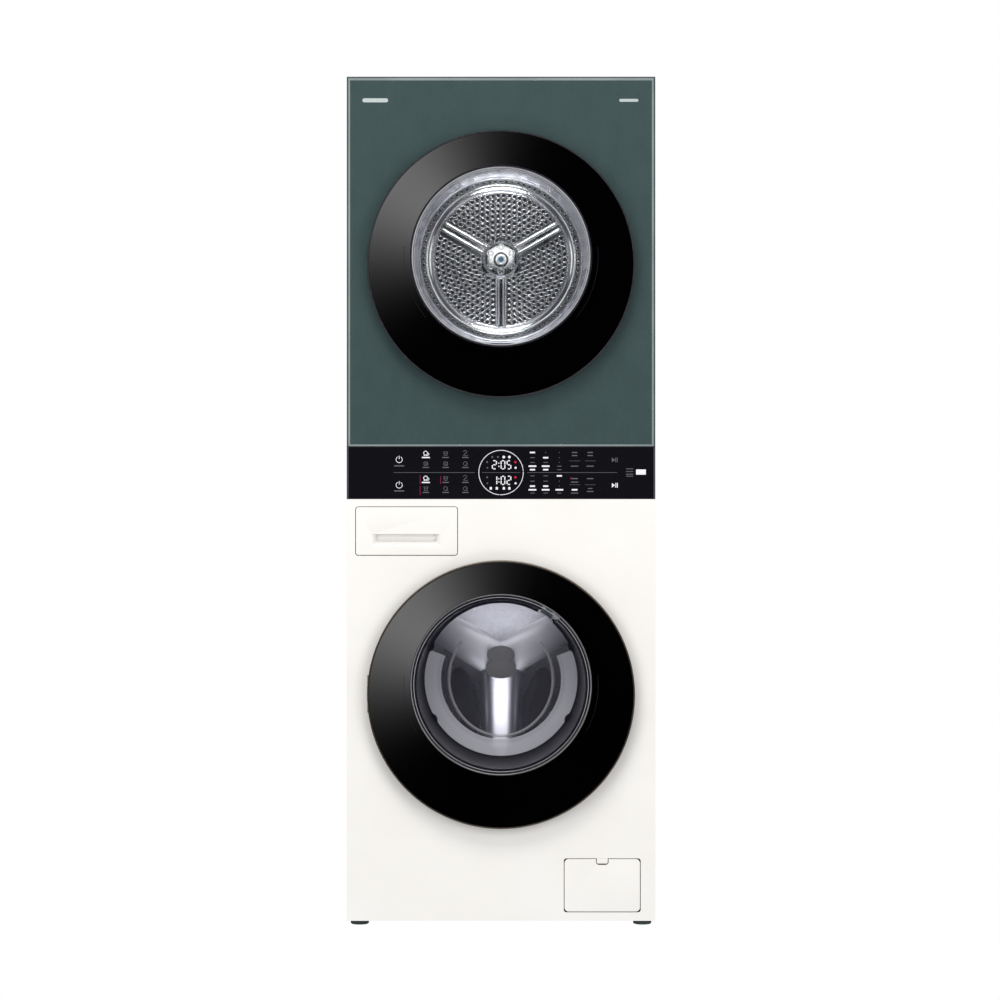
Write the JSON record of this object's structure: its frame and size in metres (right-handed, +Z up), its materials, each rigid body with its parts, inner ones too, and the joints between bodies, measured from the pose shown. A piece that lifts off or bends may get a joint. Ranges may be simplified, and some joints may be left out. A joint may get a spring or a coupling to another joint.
{
  "type": "washer dryer stack",
  "caption": "One-piece laundry tower: front-loading washer below, dryer above, round glass doors, black control band between, detergent drawer and filter cover.",
  "frame": {"origin": "on the floor, under the centre of the bounding box", "axes": "+Z up, -Y towards the doors, +X to the right seen from the front"},
  "size_m": [0.6, 0.66, 1.655],
  "materials": {
    "white_enamel": "smooth glossy white enamel",
    "green_metal": "fine brushed grey-green coated steel",
    "dark_enamel": "satin dark grey-green enamel",
    "silver_trim": "satin silver edge trim",
    "black_panel": "fine brushed black touch panel",
    "rim_metal": "metallic grey-bronze coated plastic rim",
    "tinted_glass": "polished dark tinted glass",
    "clear_glass": "polished clear glass",
    "stainless": "polished stainless sheet",
    "zinc_sheet": "zinc plated sheet",
    "cast_aluminium": "matte casting",
    "motor_steel": "wound steel laminations",
    "grey_plastic": "satin moulded plastic",
    "pale_plastic": "satin moulded plastic",
    "black_plastic": "satin moulded plastic",
    "dark_rubber": "matte rubber",
    "concrete": "rough cast concrete",
    "circuit_board": "satin laminate"
  },
  "bodies": {
    "cabinet": {"base_pan": "zinc_sheet", "washer_left_side_panel": "white_enamel", "washer_right_side_panel": "white_enamel", "washer_front_panel": "white_enamel", "washer_rear_panel": "zinc_sheet", "dispenser_housing": "pale_plastic", "inlet_valve": "pale_plastic", "drain_pump": "black_plastic", "washer_door_lock": "black_plastic", "door_gasket": "dark_rubber", "suspension_spring_left": "zinc_sheet", "suspension_spring_right": "zinc_sheet", "damper_left": "black_plastic", "damper_right": "black_plastic", "middle_deck": "zinc_sheet", "control_fascia": "black_panel", "control_board": "circuit_board", "dryer_left_side_panel": "dark_enamel", "dryer_right_side_panel": "dark_enamel", "dryer_front_panel": "green_metal", "dryer_front_trim": "silver_trim", "dryer_rear_panel": "zinc_sheet", "top_cover": "dark_enamel", "dryer_front_bulkhead": "grey_plastic", "drum_belt": "dark_rubber", "compressor": "black_plastic", "heat_exchanger": "cast_aluminium", "dryer_motor": "zinc_sheet", "washer_door_hinge": "cast_aluminium", "dryer_door_hinge": "cast_aluminium", "foot_front_left": "dark_rubber", "foot_front_right": "dark_rubber", "foot_rear_left": "dark_rubber", "foot_rear_right": "dark_rubber"},
    "tub": {"tub_rear_shell": "grey_plastic", "tub_front_shell": "grey_plastic", "counterweight": "concrete", "motor_stator": "motor_steel"},
    "washer_drum": {"washer_drum": "stainless", "drum_spider": "cast_aluminium", "motor_rotor": "motor_steel", "drum_lifter_1": "pale_plastic", "drum_lifter_2": "pale_plastic", "drum_lifter_3": "pale_plastic"},
    "washer_door": {"washer_door_frame": "rim_metal", "washer_door_glass": "tinted_glass", "washer_door_window": "clear_glass"},
    "dryer_door": {"dryer_door_frame": "rim_metal", "dryer_door_glass": "tinted_glass", "dryer_door_window": "clear_glass"},
    "detergent_drawer": {"drawer_front": "white_enamel", "drawer_tray": "pale_plastic"},
    "filter_cover": {"filter_cover": "white_enamel"},
    "drain_filter_cap": {"drain_filter_cap": "grey_plastic"},
    "dryer_drum": {"dryer_drum": "stainless", "dryer_drum_back": "stainless"},
    "roller_left": {"drum_roller_left": "grey_plastic"},
    "roller_right": {"drum_roller_right": "grey_plastic"},
    "motor_pulley": {"motor_pulley": "grey_plastic"},
    "lint_filter": {"lint_filter": "black_plastic"}
  },
  "joints": [
    {"name": "tub_bounce", "type": "slide", "parent": "cabinet", "child": "tub", "axis": [0, 0, 1], "range_m": [-0.01, 0.01], "stiffness_N_per_m": 12000, "springref_m": 0.02344, "deforming": ["suspension_spring_left", "suspension_spring_right", "damper_left", "damper_right", "door_gasket"]},
    {"name": "washer_drum_spin", "type": "hinge", "parent": "tub", "child": "washer_drum", "pos_m": [0, 0, 0.476], "axis": [0, 1, 0], "continuous": true},
    {"name": "washer_door_swing", "type": "hinge", "parent": "cabinet", "child": "washer_door", "pos_m": [-0.256, -0.302, 0.456], "axis": [0, 0, -1], "range_deg": [0, 100]},
    {"name": "dryer_door_swing", "type": "hinge", "parent": "cabinet", "child": "dryer_door", "pos_m": [-0.256, -0.302, 1.2906], "axis": [0, 0, -1], "range_deg": [0, 100]},
    {"name": "detergent_drawer_slide", "type": "slide", "parent": "cabinet", "child": "detergent_drawer", "axis": [0, -1, 0], "range_m": [0, 0.17]},
    {"name": "filter_cover_tilt", "type": "hinge", "parent": "cabinet", "child": "filter_cover", "pos_m": [0.1968, -0.2905, 0.035], "axis": [1, 0, 0], "range_deg": [0, 100]},
    {"name": "drain_cap_turn", "type": "hinge", "parent": "cabinet", "child": "drain_filter_cap", "pos_m": [0.1968, -0.245, 0.084], "axis": [0, 1, 0], "range_deg": [0, 180]},
    {"name": "dryer_drum_spin", "type": "hinge", "parent": "cabinet", "child": "dryer_drum", "pos_m": [0, 0, 1.306], "axis": [0, 1, 0], "continuous": true},
    {"name": "roller_left_spin", "type": "hinge", "parent": "cabinet", "child": "roller_left", "pos_m": [-0.17351, -0.212, 1.05821], "axis": [0, 1, 0], "continuous": true},
    {"name": "roller_right_spin", "type": "hinge", "parent": "cabinet", "child": "roller_right", "pos_m": [0.17351, -0.212, 1.05821], "axis": [0, 1, 0], "continuous": true},
    {"name": "motor_pulley_spin", "type": "hinge", "parent": "cabinet", "child": "motor_pulley", "pos_m": [0.19, 0, 0.93], "axis": [0, 1, 0], "continuous": true},
    {"name": "lint_filter_lift", "type": "slide", "parent": "cabinet", "child": "lint_filter", "axis": [0, 0, 1], "range_m": [0, 0.12]}
  ],
  "couplings": [
    {"joint": "roller_left_spin", "follows": "dryer_drum_spin", "ratio": -12.727},
    {"joint": "roller_right_spin", "follows": "dryer_drum_spin", "ratio": -12.727},
    {"joint": "motor_pulley_spin", "follows": "dryer_drum_spin", "ratio": 20}
  ]
}
